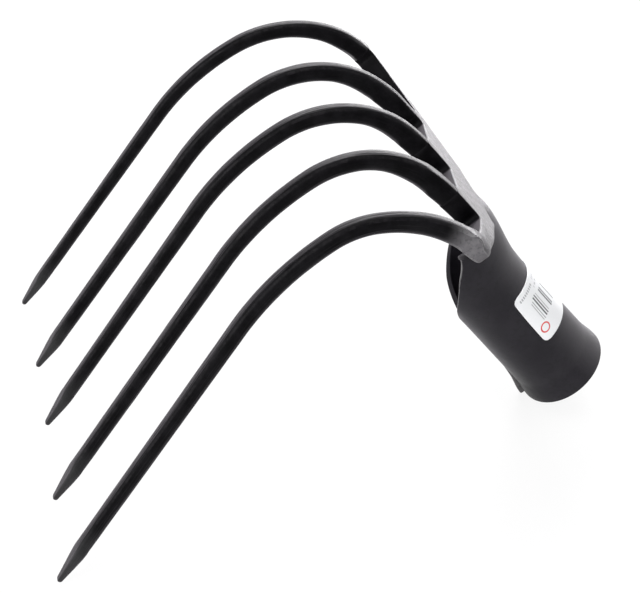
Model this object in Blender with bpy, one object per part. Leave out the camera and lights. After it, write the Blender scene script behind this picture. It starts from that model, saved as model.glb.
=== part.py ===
"""Head of a five-tine garden cultivator, without its handle, at rest on its outer points and its socket rim.

Metres and degrees. The head frame has u along the socket from its rim, y across the tines, and v out from
the socket's axis towards the back of the head. The whole head is then leaned over by HEAD_TILT.
"""

import math

import bpy
import numpy as np

# Placing
HEAD_TILT = 131.95  # direction of the socket's axis, from +X towards +Z
JOINT_GAP = 0.0003  # clearance between pieces that touch

# Sizes of the head plate and of its neck
NECK_U = 0.1045  # where the socket's sheet ends and the plate's neck begins
NECK_LENGTH = 0.0075  # the plate is flat from here up, at the fan's foot
NECK_RISE = 0.0008  # how far the neck stands out behind the plate
PLATE_THICKNESS = 0.0088
PLATE_BACK = 0.0233  # outer face of the plate, from the socket's axis
PLATE_CHAMFER = 0.0012
FAN_SLOPE = 0.613  # rise along u for each step across y, along the fan's lower edges
FAN_FOOT_WIDTH = 0.0268  # half width of the fan at its foot
SHOULDER_RADIUS = 0.009
# Where the gaps between the tines end, over the fan's foot: beside the tine at +y, and beside the one at -y
GAP_ENDS = ((0.0430, 0.0250), (0.0250, 0.0360), (0.0250, 0.0360), (0.0250, 0.0430))

# Sizes of the socket
SHEET_THICKNESS = 0.0028
SHEET_CHAMFER = 0.0004
SOCKET_RADIUS = 0.0206  # typical outer radius
RIM_FLARE = 0.0014  # extra radius at the rim
RIM_FLARE_LENGTH = 0.014
WAIST_DEPTH = 0.0009  # how far the middle of the socket is drawn in
WAIST_U = 0.060
WAIST_LENGTH = 0.026
SEAM_GAP = 0.0009  # between the two edges of the rolled sheet, along its underside
SEAM_LIFT = 0.0024  # how far the far edge stands off at the rim
SEAM_LIFT_LENGTH = 0.030
NEAR_MOUTH_LENGTH = 0.0425  # the sheet's edge at -y opens into the V over this length, up to the neck
FAR_MOUTH_LENGTH = 0.0475  # the edge at +y starts sooner and opens wider
NEAR_MOUTH = ((0.0, 0.0), (0.11, 13.0), (0.30, 30.0), (0.45, 43.5), (0.60, 54.5), (0.73, 63.0),
              (0.83, 72.0), (0.92, 79.0), (1.0, 83.0))  # share of the mouth's length, degrees from the seam
FAR_MOUTH = ((0.0, 0.0), (0.12, 15.0), (0.28, 33.0), (0.37, 44.0), (0.46, 57.0), (0.60, 76.0),
             (0.68, 90.0), (0.76, 101.0), (0.86, 109.0), (1.0, 114.0))

# Sizes of the tines
TINE_ROOT_SIDES = (0.0076, 0.0083, 0.0082, 0.0079, 0.0078)  # square sections at the roots
TINE_POINT_SIDES = (0.0058, 0.0063, 0.0061, 0.0061, 0.0060)  # and where the points begin
TINE_CHAMFER_SHARE = 0.21  # chamfer over side, away from the root
ROOT_CHAMFER_SHARE = 0.07
SQUARE_ENDS = (0.040, 0.0415, 0.0420, 0.0555, 0.0460)  # the upper chamfers begin here, over the fan's foot
LOWER_SQUARE_END = 0.045
CHAMFER_RUN = 0.004
CROTCH_FILLET = 0.0022
HEEL_DEPTHS = (0.0008, 0.0012, 0.0014, 0.0014, 0.0002)  # extra depth of a tine on its inside, near its root
HEEL_ENDS = (0.050, 0.053, 0.050, 0.060, 0.050)  # where that starts to run out, over the fan's foot
HEEL_RISE = 0.028
HEEL_FADE = 0.022
BEND_HEIGHTS = (0.0430, 0.0373, 0.0373, 0.0373, 0.0373)  # over the fan's foot, where the bends begin
FIRST_RADII = (0.0421, 0.0606, 0.1024, 0.1012, 0.0554)
FIRST_TURNS = (33.5, 17.8, 5.9, 10.2, 52.6)
MIDDLE_RADII = (0.0502, 0.0452, 0.0454, 0.0407, 0.0349)
TURN_BEFORE_LAST = 82.2  # the first and the middle bend together
LAST_RADIUS = 0.1149
LAST_TURNS = (25.5, 24.3, 24.9, 24.4, 24.7)
POINT_LENGTH = 0.022
POINT_SPREAD = 1.17  # width of the spread part of the point over the tine's side
TIP_WIDTH = 0.0026
TIP_THICKNESS = 0.0022
TINE_PITCH = 0.0400  # between the tines' middle lines, at the height of the fan's foot
TINE_SHIFTS = (-0.0030, -0.0002, -0.0007, -0.0011, -0.0030)  # from even places, as they were forged by hand
TINE_SPLAY = (0.0976, 0.0180, 0.0020, -0.0299, -0.0390)  # sideways run for each step along the tine
TIP_HEIGHTS = (0.0, 0.0049, 0.0055, 0.0044, 0.0)  # the two outer points carry the head

# Sizes of the label
LABEL_U = 0.0501  # its middle
LABEL_ANGLE = -32.0  # its middle, round the socket from the back
LABEL_TURN = 3.0  # in its own plane
LABEL_LENGTH = 0.0305
LABEL_WIDTH = 0.0297
LABEL_THICKNESS = 0.0004
LABEL_CORNER = 0.0030

AXIS = np.array([math.cos(math.radians(HEAD_TILT)), 0.0, math.sin(math.radians(HEAD_TILT))])
BACK = np.array([AXIS[2], 0.0, -AXIS[0]])
SIDE = np.array([0.0, 1.0, 0.0])
FLAT_CURVATURE = 0.01

# Lengths between the rows of points, which set no size
BEND_STEP = 0.0032
STRAIGHT_STEP = 0.008
POINT_STEP = 0.0014
FAN_ROWS = 15
NECK_ROWS = 15
GAP_COLUMNS = 7
ROOT_COLUMNS = 3
FILLET_ROWS = 4

FAN_FOOT_U = NECK_U + NECK_LENGTH
TINE_COUNT = len(TINE_SHIFTS)


def head_point(u, y, v):
    return AXIS * u + SIDE * y + BACK * v


def ease(share):
    share = min(max(share, 0.0), 1.0)
    return share * share * (3.0 - 2.0 * share)


def make_object(name, points, faces, color, roughness, metallic):
    mesh = bpy.data.meshes.new(name)
    mesh.from_pydata([tuple(point) for point in points], [], faces)
    mesh.update()
    item = bpy.data.objects.new(name, mesh)
    bpy.context.scene.collection.objects.link(item)
    paint = bpy.data.materials.new("mat_" + name)
    paint.use_nodes = True
    shader = paint.node_tree.nodes["Principled BSDF"]
    shader.inputs["Base Color"].default_value = (*color, 1.0)
    shader.inputs["Roughness"].default_value = roughness
    shader.inputs["Metallic"].default_value = metallic
    mesh.materials.append(paint)
    return item


def ring_solid(name, rings, **look):
    """A closed solid from rings of points, each seen turning the same way, with flat ends."""
    count = len(rings[0])
    points = np.concatenate(rings)
    faces = []
    for row in range(len(rings) - 1):
        for column in range(count):
            after = (column + 1) % count
            first = row * count
            faces.append((first + count + column, first + count + after, first + after, first + column))
    last = (len(rings) - 1) * count
    faces.append(tuple(range(count)))
    faces.append(tuple(reversed(range(last, last + count))))
    return make_object(name, points, faces, **look)


def strip_solid(name, rows, **look):
    """A closed solid from rows of paired chains: rows[i] is (outer chain, inner chain) of equal length."""
    count = len(rows[0][0])
    width = 2 * count
    points = np.concatenate([np.concatenate(pair) for pair in rows])
    faces = []
    for row in range(len(rows) - 1):
        here = row * width
        above = here + width
        for column in range(count - 1):
            faces.append((here + column, here + column + 1, above + column + 1, above + column))
            low = here + count + column
            high = above + count + column
            faces.append((high, high + 1, low + 1, low))
        faces.append((here + count - 1, here + width - 1, above + width - 1, above + count - 1))
        faces.append((above, above + count, here + count, here))
    top = (len(rows) - 1) * width
    for column in range(count - 1):
        faces.append((column + count, column + count + 1, column + 1, column))
        faces.append((top + column, top + column + 1, top + column + count + 1, top + column + count))
    return make_object(name, points, faces, **look)


def bent_chains(u, half_left, half_right, curvature, back, thickness, chamfer, shares, lift):
    """Outer and inner chains of one section of bent sheet. Lengths run along the middle of the sheet."""
    radius = 1.0 / max(curvature, FLAT_CURVATURE)
    centre = back - thickness / 2 - radius
    inside = chamfer - half_left + (half_left + half_right - 2 * chamfer) * shares
    along = np.concatenate([[-half_left], inside, [half_right]])
    chains = []
    for sign in (1.0, -1.0):
        height = np.full(len(along), sign * thickness / 2)
        height[0] -= sign * chamfer
        height[-1] -= sign * chamfer
        chain = []
        for length, offset in zip(along, height):
            turn = length / radius
            reach = radius + offset + lift(math.degrees(turn))
            chain.append(head_point(u, reach * math.sin(turn), centre + reach * math.cos(turn)))
        chains.append(np.array(chain))
    return chains


def socket_radius(u):
    flare = RIM_FLARE * (1.0 - ease(u / RIM_FLARE_LENGTH))
    waist = WAIST_DEPTH * math.exp(-((u - WAIST_U) / WAIST_LENGTH) ** 2)
    return SOCKET_RADIUS + flare - waist


def socket_back(u):
    """Outer face of the socket at its back, from the axis: it swings out to meet the neck."""
    start = WAIST_U + WAIST_LENGTH / 2
    out = (PLATE_BACK + NECK_RISE - SOCKET_RADIUS) * ease((u - start) / (NECK_U - start))
    return socket_radius(u) + out - WAIST_DEPTH * math.exp(-((u - WAIST_U) / WAIST_LENGTH) ** 2) / 2


def flank_length(u, mouth_length, opening):
    """Length of the bent sheet from the middle of the socket's back to its edge, seam or mouth."""
    radius = socket_radius(u) - SHEET_THICKNESS / 2
    share = 1.0 - (NECK_U - u) / mouth_length
    shares = [pair[0] for pair in opening]
    angles = [pair[1] for pair in opening]
    return math.radians(180.0 - float(np.interp(share, shares, angles))) * radius - SEAM_GAP / 2


def socket_lift(u):
    fade = 1.0 - ease(u / SEAM_LIFT_LENGTH)

    def lift(degrees):
        return SEAM_LIFT * fade * ease((degrees - 145.0) / 34.0)

    return lift


def no_lift(degrees):
    return 0.0


def build_socket():
    rows = []
    mouth = NECK_U - FAR_MOUTH_LENGTH
    shares = np.linspace(0.0, 1.0, 49)
    for u in np.concatenate([np.linspace(0.0, mouth, 13), np.linspace(mouth, NECK_U, 25)[1:]]):
        near = flank_length(u, NEAR_MOUTH_LENGTH, NEAR_MOUTH)
        far = flank_length(u, FAR_MOUTH_LENGTH, FAR_MOUTH)
        curvature = 1.0 / (socket_radius(u) - SHEET_THICKNESS / 2)
        rows.append(bent_chains(u, near, far, curvature, socket_back(u), SHEET_THICKNESS,
                                SHEET_CHAMFER, shares, socket_lift(u)))
    return strip_solid("socket", rows, color=(0.035, 0.035, 0.038), roughness=0.42, metallic=0.3)


def floor_height():
    """Height of the floor that the rim stands on, where the axis passes the origin at the rim."""
    return -BACK[2] * (SOCKET_RADIUS + RIM_FLARE + SEAM_LIFT)


def go_on(x, z, angle, radius, run):
    """Where a straight or bent piece of a path leads to, in the XZ plane. Radius 0 means straight."""
    if radius == 0.0:
        return x + run * math.cos(angle), z + run * math.sin(angle), angle
    turned = angle + run / radius
    return (x + radius * (math.sin(turned) - math.sin(angle)),
            z - radius * (math.cos(turned) - math.cos(angle)), turned)


def tine_pieces(index):
    """A tine's middle line from the fan's foot on: where each piece starts, its direction and its radius."""
    first = math.radians(FIRST_TURNS[index])
    middle = math.radians(TURN_BEFORE_LAST) - first
    last = math.radians(LAST_TURNS[index])
    start = head_point(FAN_FOOT_U, 0.0, PLATE_BACK - PLATE_THICKNESS / 2)
    distance, x, z, angle = 0.0, start[0], start[2], math.radians(HEAD_TILT)
    pieces = []
    bends = ((FIRST_RADII[index], first), (MIDDLE_RADII[index], middle), (LAST_RADIUS, last))
    for radius, run in [(0.0, BEND_HEIGHTS[index])] + [(radius, radius * turn) for radius, turn in bends]:
        pieces.append((distance, x, z, angle, radius))
        x, z, angle = go_on(x, z, angle, radius, run)
        distance += run
    pieces.append((distance, x, z, angle, 0.0))
    return pieces


def tine_point(pieces, distance, y, offset):
    """The point beside a tine's middle line, offset outwards, away from the inside of the bends."""
    start, x, z, angle, radius = [piece for piece in pieces if piece[0] <= distance][-1]
    x, z, angle = go_on(x, z, angle, radius, distance - start)
    return np.array([x + math.sin(angle) * offset, y, z - math.cos(angle) * offset])


def tine_length(index, pieces):
    distance, x, z, angle, radius = pieces[-1]
    return distance + (z - floor_height() - TIP_HEIGHTS[index] - TIP_WIDTH / 2) / -math.sin(angle)


def middle_y(index, distance):
    return TINE_PITCH * ((TINE_COUNT - 1) / 2 - index) + TINE_SHIFTS[index] + TINE_SPLAY[index] * distance


def shoulder_top(outer):
    """Height over the fan's foot where the round shoulder of its outer edge ends."""
    slope_angle = math.atan2(1.0, FAN_SLOPE)
    start_y = outer - SHOULDER_RADIUS * (1.0 - math.cos(slope_angle))
    return (start_y - FAN_FOOT_WIDTH) * FAN_SLOPE + SHOULDER_RADIUS * math.sin(slope_angle)


def shoulder_half_width(height, outer):
    """Half width of the flat fan at a height over its foot, on the side that reaches out to outer."""
    top = shoulder_top(outer)
    start = top - SHOULDER_RADIUS * math.sin(math.atan2(1.0, FAN_SLOPE))
    if height <= start:
        return FAN_FOOT_WIDTH + height / FAN_SLOPE
    return outer - SHOULDER_RADIUS + math.sqrt(max(0.0, SHOULDER_RADIUS ** 2 - (top - height) ** 2))


def outer_edge(index):
    """How far the fan reaches from the middle, where an outer tine's outer side begins."""
    outer = abs(middle_y(index, BEND_HEIGHTS[index])) + TINE_ROOT_SIDES[index] / 2
    for turn in range(4):
        outer = abs(middle_y(index, shoulder_top(outer))) + TINE_ROOT_SIDES[index] / 2
    return outer


def root_corners(index):
    """The two ends of the line between a tine and the plate, at -y and at +y: y and height over the foot."""
    corners = []
    for side in (-1.0, 1.0):
        gap = index if side < 0.0 else index - 1
        if 0 <= gap < len(GAP_ENDS):
            height = GAP_ENDS[gap][0 if side < 0.0 else 1]
            reach = TINE_ROOT_SIDES[index] / 2 + CROTCH_FILLET
            corners.append((middle_y(index, height) + side * reach, height))
        else:
            outer = outer_edge(index)
            corners.append((side * outer, shoulder_top(outer)))
    return corners


def comb_outline():
    """The plate's upper edge from -y to +y: y and height over the foot, along the gaps and the roots."""
    corners = []
    for index in reversed(range(TINE_COUNT)):
        corners += root_corners(index)
    corners[0] = (corners[0][0] + PLATE_CHAMFER, corners[0][1])
    corners[-1] = (corners[-1][0] - PLATE_CHAMFER, corners[-1][1])
    line = [corners[0]]
    for number in range(1, len(corners)):
        count = ROOT_COLUMNS if number % 2 else GAP_COLUMNS
        (from_y, from_height), (to_y, to_height) = corners[number - 1], corners[number]
        for step in range(1, count + 1):
            share = step / count
            line.append((from_y + (to_y - from_y) * share, from_height + (to_height - from_height) * share))
    return np.array(line)


def fan_chains(share, outline, shares, edges, paths):
    """Outer and inner chains of the flat fan, at a share of the way up from its foot to its upper edge."""
    heights = np.concatenate([outline[:1, 1], outline[:, 1], outline[-1:, 1]]) * share
    left = -shoulder_half_width(heights[0], edges[0])
    right = shoulder_half_width(heights[-1], edges[1])
    inside = left + PLATE_CHAMFER + (right - left - 2 * PLATE_CHAMFER) * shares
    across = np.concatenate([[left], inside, [right]])
    chains = []
    for sign in (1.0, -1.0):
        offset = np.full(len(across), sign * PLATE_THICKNESS / 2)
        offset[0] -= sign * PLATE_CHAMFER
        offset[-1] -= sign * PLATE_CHAMFER
        chains.append(np.array([tine_point(paths[0] if y > 0.0 else paths[-1], height, y, out)
                                for y, height, out in zip(across, heights, offset)]))
    return chains


def build_plate():
    start = NECK_U + JOINT_GAP
    foot_radius = socket_radius(NECK_U) - SHEET_THICKNESS / 2
    foot_left = flank_length(NECK_U, NEAR_MOUTH_LENGTH, NEAR_MOUTH)
    foot_right = flank_length(NECK_U, FAR_MOUTH_LENGTH, FAR_MOUTH)
    on_line = FAN_FOOT_WIDTH - (FAN_FOOT_U - start) / FAN_SLOPE
    outline = comb_outline()
    shares = (outline[:, 0] - outline[0, 0]) / (outline[-1, 0] - outline[0, 0])
    rows = []
    for share in np.linspace(0.0, 1.0, NECK_ROWS):
        u = start + (FAN_FOOT_U - start) * share
        swell = ease(share)
        curvature = (1.0 - swell) / foot_radius
        thickness = SHEET_THICKNESS + (PLATE_THICKNESS - SHEET_THICKNESS) * swell
        chamfer = SHEET_CHAMFER + (PLATE_CHAMFER - SHEET_CHAMFER) * swell
        back = PLATE_BACK + (socket_back(NECK_U) - PLATE_BACK) * (1.0 - swell)
        on_fan = FAN_FOOT_WIDTH - (FAN_FOOT_U - u) / FAN_SLOPE
        left = on_fan + (foot_left - on_line) * (1.0 - swell)
        right = on_fan + (foot_right - on_line) * (1.0 - swell)
        rows.append(bent_chains(u, left, right, curvature, back, thickness, chamfer, shares, no_lift))
    last = TINE_COUNT - 1
    edges = (outer_edge(last), outer_edge(0))
    paths = [tine_pieces(index) for index in range(TINE_COUNT)]
    for share in np.linspace(0.0, 1.0, FAN_ROWS)[1:]:
        rows.append(fan_chains(share, outline, shares, edges, paths))
    return strip_solid("head_plate", rows, color=(0.05, 0.05, 0.052), roughness=0.55, metallic=0.3)


def tine_section(index, distance, length):
    """Width across y, and how far the tine reaches outwards and inwards from its middle line."""
    bend = BEND_HEIGHTS[index]
    point_start = length - POINT_LENGTH
    share = min(max((distance - bend) / (point_start - bend), 0.0), 1.0)
    side = TINE_ROOT_SIDES[index] + (TINE_POINT_SIDES[index] - TINE_ROOT_SIDES[index]) * share
    if distance > point_start:
        run = (distance - point_start) / POINT_LENGTH
        spread = 1.0 + (POINT_SPREAD - 1.0) * ease(run / 0.22)
        taper = ease((run - 0.16) / 1.05) * 1.02
        end = math.sqrt(max(0.0, 1.0 - max(0.0, (run - 0.93) / 0.07) ** 2 * 0.7))
        width = (side * spread + (TIP_WIDTH - side * spread) * min(taper, 1.0)) * end
        half = (side + (TIP_THICKNESS - side) * min(run * 1.05, 1.0)) * end / 2
        return width, half, half
    root = min(corner[1] for corner in root_corners(index))
    from_plate = 1.0 - ease((distance - root) / HEEL_ENDS[index])
    half = side / 2 + (PLATE_THICKNESS - side) / 2 * from_plate
    heel = ease((distance - root) / HEEL_RISE) * (1.0 - ease((distance - HEEL_ENDS[index]) / HEEL_FADE))
    return side, half, half + HEEL_DEPTHS[index] * heel


def fillet_at(distance):
    """How far the root of a tine widens on a side that faces a gap."""
    if distance >= CROTCH_FILLET:
        return 0.0
    return CROTCH_FILLET - math.sqrt(CROTCH_FILLET ** 2 - (CROTCH_FILLET - max(distance, 0.0)) ** 2)


def tine_stations(index, pieces, length):
    """Distances of the left and the right side of each section. The first ones lean with the root's line."""
    (left_y, left), (right_y, right) = root_corners(index)
    clearance = JOINT_GAP * math.hypot(1.0, (right - left) / (right_y - left_y))
    left += clearance
    right += clearance
    stations = []
    for step in range(FILLET_ROWS + 1):
        run = CROTCH_FILLET * step / FILLET_ROWS
        stations.append((left + run, right + run))
    square = max(left, right) + CROTCH_FILLET + BEND_STEP
    count = max(2, round((square - min(stations[-1])) / BEND_STEP))
    leaning = stations[-1]
    for step in range(1, count + 1):
        stations.append(tuple(side + (square - side) * step / count for side in leaning))
    point_start = length - POINT_LENGTH
    cuts = [square] + [piece[0] for piece in pieces if piece[0] > square] + [point_start, length]
    for begin, end in zip(cuts, cuts[1:]):
        step = BEND_STEP if end <= pieces[-1][0] else STRAIGHT_STEP
        if begin == point_start:
            step = POINT_STEP
        for distance in np.linspace(begin, end, max(2, round((end - begin) / step)) + 1)[1:]:
            stations.append((distance, distance))
    return stations


def build_tine(index):
    pieces = tine_pieces(index)
    length = tine_length(index, pieces)
    rings = []
    stations = tine_stations(index, pieces, length)
    gaps = (index < len(GAP_ENDS), index > 0)
    for left_distance, right_distance in stations:
        distance = (left_distance + right_distance) / 2
        width, outwards, inwards = tine_section(index, distance, length)
        wide = [width / 2 + (fillet_at(side - first) if gap else 0.0)
                for side, first, gap in zip((left_distance, right_distance), stations[0], gaps)]
        left = middle_y(index, left_distance) - wide[0]
        right = middle_y(index, right_distance) + wide[1]
        chamfers = []
        for square_end in (SQUARE_ENDS[index], LOWER_SQUARE_END):
            share = ease((distance - square_end) / CHAMFER_RUN)
            chamfers.append(min(width, outwards + inwards)
                            * (ROOT_CHAMFER_SHARE + (TINE_CHAMFER_SHARE - ROOT_CHAMFER_SHARE) * share))
        upper, lower = chamfers
        corners = ((right, outwards - upper), (right - upper, outwards), (left + upper, outwards),
                   (left, outwards - upper), (left, lower - inwards), (left + lower, -inwards),
                   (right - lower, -inwards), (right, lower - inwards))
        ring = []
        for across, offset in corners:
            lean = (right_distance - left_distance) * (across - left) / (right - left)
            ring.append(tine_point(pieces, left_distance + lean, across, offset))
        rings.append(np.array(ring))
    return ring_solid(f"tine_{index + 1}", rings, color=(0.03, 0.03, 0.032), roughness=0.4, metallic=0.3)


def build_label():
    rows = []
    half_length = LABEL_LENGTH / 2
    turn = math.radians(LABEL_TURN)
    for run in np.linspace(-half_length, half_length, 17):
        corner = max(0.0, abs(run) - half_length + LABEL_CORNER)
        trim = LABEL_CORNER - math.sqrt(max(0.0, LABEL_CORNER ** 2 - corner ** 2))
        half = LABEL_WIDTH / 2 - trim
        pair = []
        for height in (JOINT_GAP + LABEL_THICKNESS, JOINT_GAP):
            chain = []
            for across in np.linspace(-half, half, 21):
                u = LABEL_U + run * math.cos(turn) - across * math.sin(turn)
                radius = socket_radius(u)
                angle = math.radians(LABEL_ANGLE) + (across * math.cos(turn) + run * math.sin(turn)) / radius
                reach = radius + height
                centre = socket_back(u) - radius
                chain.append(head_point(u, reach * math.sin(angle), centre + reach * math.cos(angle)))
            pair.append(np.array(chain))
        rows.append(pair)
    return strip_solid("label", rows, color=(0.85, 0.85, 0.84), roughness=0.5, metallic=0.0)


def settle(items):
    """Moves the whole head so that its box is centred on the origin and stands on the floor."""
    corners = []
    for item in items:
        points = np.empty(len(item.data.vertices) * 3)
        item.data.vertices.foreach_get("co", points)
        corners.append(points.reshape(-1, 3))
    whole = np.concatenate(corners)
    low = whole.min(axis=0)
    high = whole.max(axis=0)
    shift = np.array([(low[0] + high[0]) / 2, (low[1] + high[1]) / 2, low[2]])
    for item, points in zip(items, corners):
        item.data.vertices.foreach_set("co", (points - shift).ravel())
        item.data.update()
    print("box", high - low, "shift", shift)


def main():
    for item in list(bpy.data.objects):
        bpy.data.objects.remove(item)
    items = [build_socket(), build_plate()]
    items += [build_tine(index) for index in range(TINE_COUNT)]
    items.append(build_label())
    settle(items)


main()
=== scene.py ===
import math

import bmesh
import bpy
import numpy as np
from mathutils import Matrix, Vector
from mathutils.geometry import delaunay_2d_cdt


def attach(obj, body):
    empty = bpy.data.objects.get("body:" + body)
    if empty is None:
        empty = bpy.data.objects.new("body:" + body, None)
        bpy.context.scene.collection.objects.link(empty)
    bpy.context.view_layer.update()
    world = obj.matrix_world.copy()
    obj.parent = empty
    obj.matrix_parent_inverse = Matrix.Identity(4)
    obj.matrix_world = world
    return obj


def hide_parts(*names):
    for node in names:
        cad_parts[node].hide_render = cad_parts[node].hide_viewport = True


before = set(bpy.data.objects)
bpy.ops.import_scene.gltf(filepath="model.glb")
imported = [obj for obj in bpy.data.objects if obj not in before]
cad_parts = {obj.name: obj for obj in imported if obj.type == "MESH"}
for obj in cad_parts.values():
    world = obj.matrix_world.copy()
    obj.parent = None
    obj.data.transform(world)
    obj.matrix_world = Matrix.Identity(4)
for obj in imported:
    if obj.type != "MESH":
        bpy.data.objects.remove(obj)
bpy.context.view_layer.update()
print("frame loaded:", len(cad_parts), "nodes")

# The head's own directions: u along the socket from its rim, y across the tines, v out through the back
head = {
    "tilt": 131.95,  # degrees from +X towards +Z
    "rimMiddle": (0.11792972, -0.00501566, 0.01628807),
    "neckU": 0.1045,  # the socket's sheet ends here
    "footU": 0.112,  # the fan's foot: flat from here up, and heights are measured from here
    "plateThickness": 0.0088,
    "plateBack": 0.0233,
    "neckRise": 0.0008,
    "jointGap": 0.0003,
    "edgeBand": 1.3,  # a rounded edge's rows reach this far, in radii
    "mergeDistance": 0.000002,
    "perMetre": 1000.0,  # millimetres
}
axisWay = np.array([math.cos(math.radians(head["tilt"])), 0.0, math.sin(math.radians(head["tilt"]))])
backWay = np.array([axisWay[2], 0.0, -axisWay[0]])
sideWay = np.array([0.0, 1.0, 0.0])
rimMiddle = np.array(head["rimMiddle"])


def headPoint(u, y, v):
    u, y, v = np.broadcast_arrays(u, y, v)
    return rimMiddle + axisWay * u[..., None] + sideWay * y[..., None] + backWay * v[..., None]


def rise(place, start, run):
    share = np.clip((place - start) / run, 0.0, 1.0)
    return share * share * (3.0 - 2.0 * share)


def fade(place, start, run):
    return 1.0 - rise(place, start, run)


def addObject(name, data):
    item = bpy.data.objects.new(name, data)
    bpy.context.scene.collection.objects.link(item)
    return item


def makePiece(name, points, faces, edges=()):
    mesh = bpy.data.meshes.new(name)
    mesh.from_pydata(np.asarray(points).tolist(), edges, faces)
    mesh.update()
    mesh.shade_smooth()
    return addObject(name, mesh)


# Turns the faces round where a closed mesh is inside out
def outwardFaces(mesh):
    work = bmesh.new()
    work.from_mesh(mesh)
    if work.calc_volume(signed=True) < 0.0:
        bmesh.ops.reverse_faces(work, faces=work.faces)
        work.to_mesh(mesh)
    work.free()


def finishPiece(item, node, material):
    outwardFaces(item.data)
    item.data.materials.clear()
    item.data.materials.append(material)
    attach(item, "root")
    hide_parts(node)
    print(node, "has", len(item.data.polygons), "faces")


def storeValue(item, name, values):
    layer = item.data.attributes.new(name, "FLOAT", "POINT")
    layer.data.foreach_set("value", np.asarray(values, np.float32))


# Node helpers

# A node's output that can stand in a formula
class Value:
    def __init__(self, socket):
        self.socket, self.tree = socket, socket.id_data

    def __add__(self, other):
        return calc("ADD", self, other)

    def __sub__(self, other):
        return calc("SUBTRACT", self, other)

    def __rsub__(self, other):
        return calc("SUBTRACT", other, self)

    def __mul__(self, other):
        return calc("MULTIPLY", self, other)

    def __truediv__(self, other):
        return calc("DIVIDE", self, other)


def named(sockets):
    return {socket.name: Value(socket) for socket in sockets}


def feed(socket, value):
    if isinstance(value, Value):
        value = value.socket
    if isinstance(value, bpy.types.NodeSocket):
        socket.id_data.links.new(value, socket)
    else:
        socket.default_value = value


def calc(operation, *values, kind="ShaderNodeMath"):
    tree = next(value.tree for value in values if isinstance(value, Value))
    node = tree.nodes.new(kind)
    node.operation = operation
    used = [node.inputs[0], node.inputs[3]] if operation == "SCALE" else node.inputs
    for socket, value in zip(used, values):
        feed(socket, value)
    return Value(node.outputs[0])


def calcVector(operation, *values):
    return calc(operation, *values, kind="ShaderNodeVectorMath")


def ramp(value, fromLow, fromHigh, toLow=0.0, toHigh=1.0, way="SMOOTHSTEP"):
    node = value.tree.nodes.new("ShaderNodeMapRange")
    node.interpolation_type = way
    for index, given in enumerate((value, fromLow, fromHigh, toLow, toHigh)):
        feed(node.inputs[index], given)
    return Value(node.outputs[0])


def blend(share, first, second):
    return ramp(share, 0.0, 1.0, first, second, "LINEAR")


def noise(place, scale, detail, roughness, turn=None):
    node = place.tree.nodes.new("ShaderNodeTexNoise")
    given = {"Vector": place, "Scale": scale, "Detail": detail, "Roughness": roughness}
    if turn is not None:
        node.noise_dimensions = "4D"
        given["W"] = turn
    for name, value in given.items():
        feed(node.inputs[name], value)
    return Value(node.outputs[0])


def mixColors(share, first, second):
    node = share.tree.nodes.new("ShaderNodeMix")
    node.data_type = "RGBA"
    for index, value in ((0, share), (6, first), (7, second)):
        feed(node.inputs[index], value)
    return Value(node.outputs[2])


def partsOf(vector):
    node = vector.tree.nodes.new("ShaderNodeSeparateXYZ")
    feed(node.inputs[0], vector)
    return [Value(socket) for socket in node.outputs]


def newGroup(name, inputs, outputs):
    tree = bpy.data.node_groups.new(name, "ShaderNodeTree")
    for way, labels in (("INPUT", inputs), ("OUTPUT", outputs)):
        for label in labels:
            kind = "NodeSocketColor" if label in ("Paint", "Dusty", "Color") else "NodeSocketFloat"
            tree.interface.new_socket(label, in_out=way, socket_type=kind)
    given = named(tree.nodes.new("NodeGroupInput").outputs)
    return tree, given, tree.nodes.new("NodeGroupOutput").inputs


def placeGroup(tree, group, values):
    node = tree.nodes.new("ShaderNodeGroup")
    node.node_tree = group
    for socket in node.inputs:
        feed(socket, values[socket.name])
    return named(node.outputs)


def objectPlace(tree):
    return Value(tree.nodes.new("ShaderNodeTexCoord").outputs["Object"])


def readValue(tree, name):
    node = tree.nodes.new("ShaderNodeAttribute")
    node.attribute_name = name
    return Value(node.outputs["Fac"])


# Effects that more than one finish uses

effects = {
    "fine": (5.0, 0.6), "pits": (3.0, 0.5), "dents": (2.0, 0.45),  # a noise's detail and roughness
    "patches": (5.0, 0.6), "streaks": (3.0, 0.5), "ragged": (5.0, 0.65),
    "pitRange": (0.5, 0.68), "patchRange": (0.35, 0.7), "wornRange": (0.0, 0.22),
    "streakScale": 5.3,  # over the scale of the patches
}


def buildForgedGrain():
    tree, given, out = newGroup(
        "forgedGrain", ("Grain", "Grain Depth", "Pits", "Pit Depth", "Dents", "Dent Depth"),
        ("Height", "Pitted"))
    place = objectPlace(tree)
    fine = noise(place, given["Grain"], *effects["fine"])
    pitted = ramp(noise(place, given["Pits"], *effects["pits"]), *effects["pitRange"])
    dents = noise(place, given["Dents"], *effects["dents"])
    height = fine * given["Grain Depth"] - pitted * given["Pit Depth"] + dents * given["Dent Depth"]
    feed(out["Height"], height)
    feed(out["Pitted"], pitted)
    return tree


def buildAgedPaint():
    tree, given, out = newGroup(
        "agedPaint", ("Paint", "Dusty", "Patches", "Roughness", "Spread"), ("Color", "Roughness"))
    place = objectPlace(tree)
    patches = ramp(noise(place, given["Patches"], *effects["patches"]), *effects["patchRange"])
    streaks = noise(place, given["Patches"] * effects["streakScale"], *effects["streaks"])
    feed(out["Color"], mixColors(patches, given["Paint"], given["Dusty"]))
    feed(out["Roughness"], (patches + streaks - 1.0) * given["Spread"] + given["Roughness"])
    return tree


def buildEdgeWear():
    tree, given, out = newGroup("edgeWear", ("Edge", "Amount", "Ragged"), ("Worn",))
    ragged = noise(objectPlace(tree), given["Ragged"], *effects["ragged"])
    worn = given["Edge"] * (given["Amount"] + 0.5) + ragged - 1.0
    feed(out["Worn"], ramp(worn, *effects["wornRange"]))
    return tree


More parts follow.
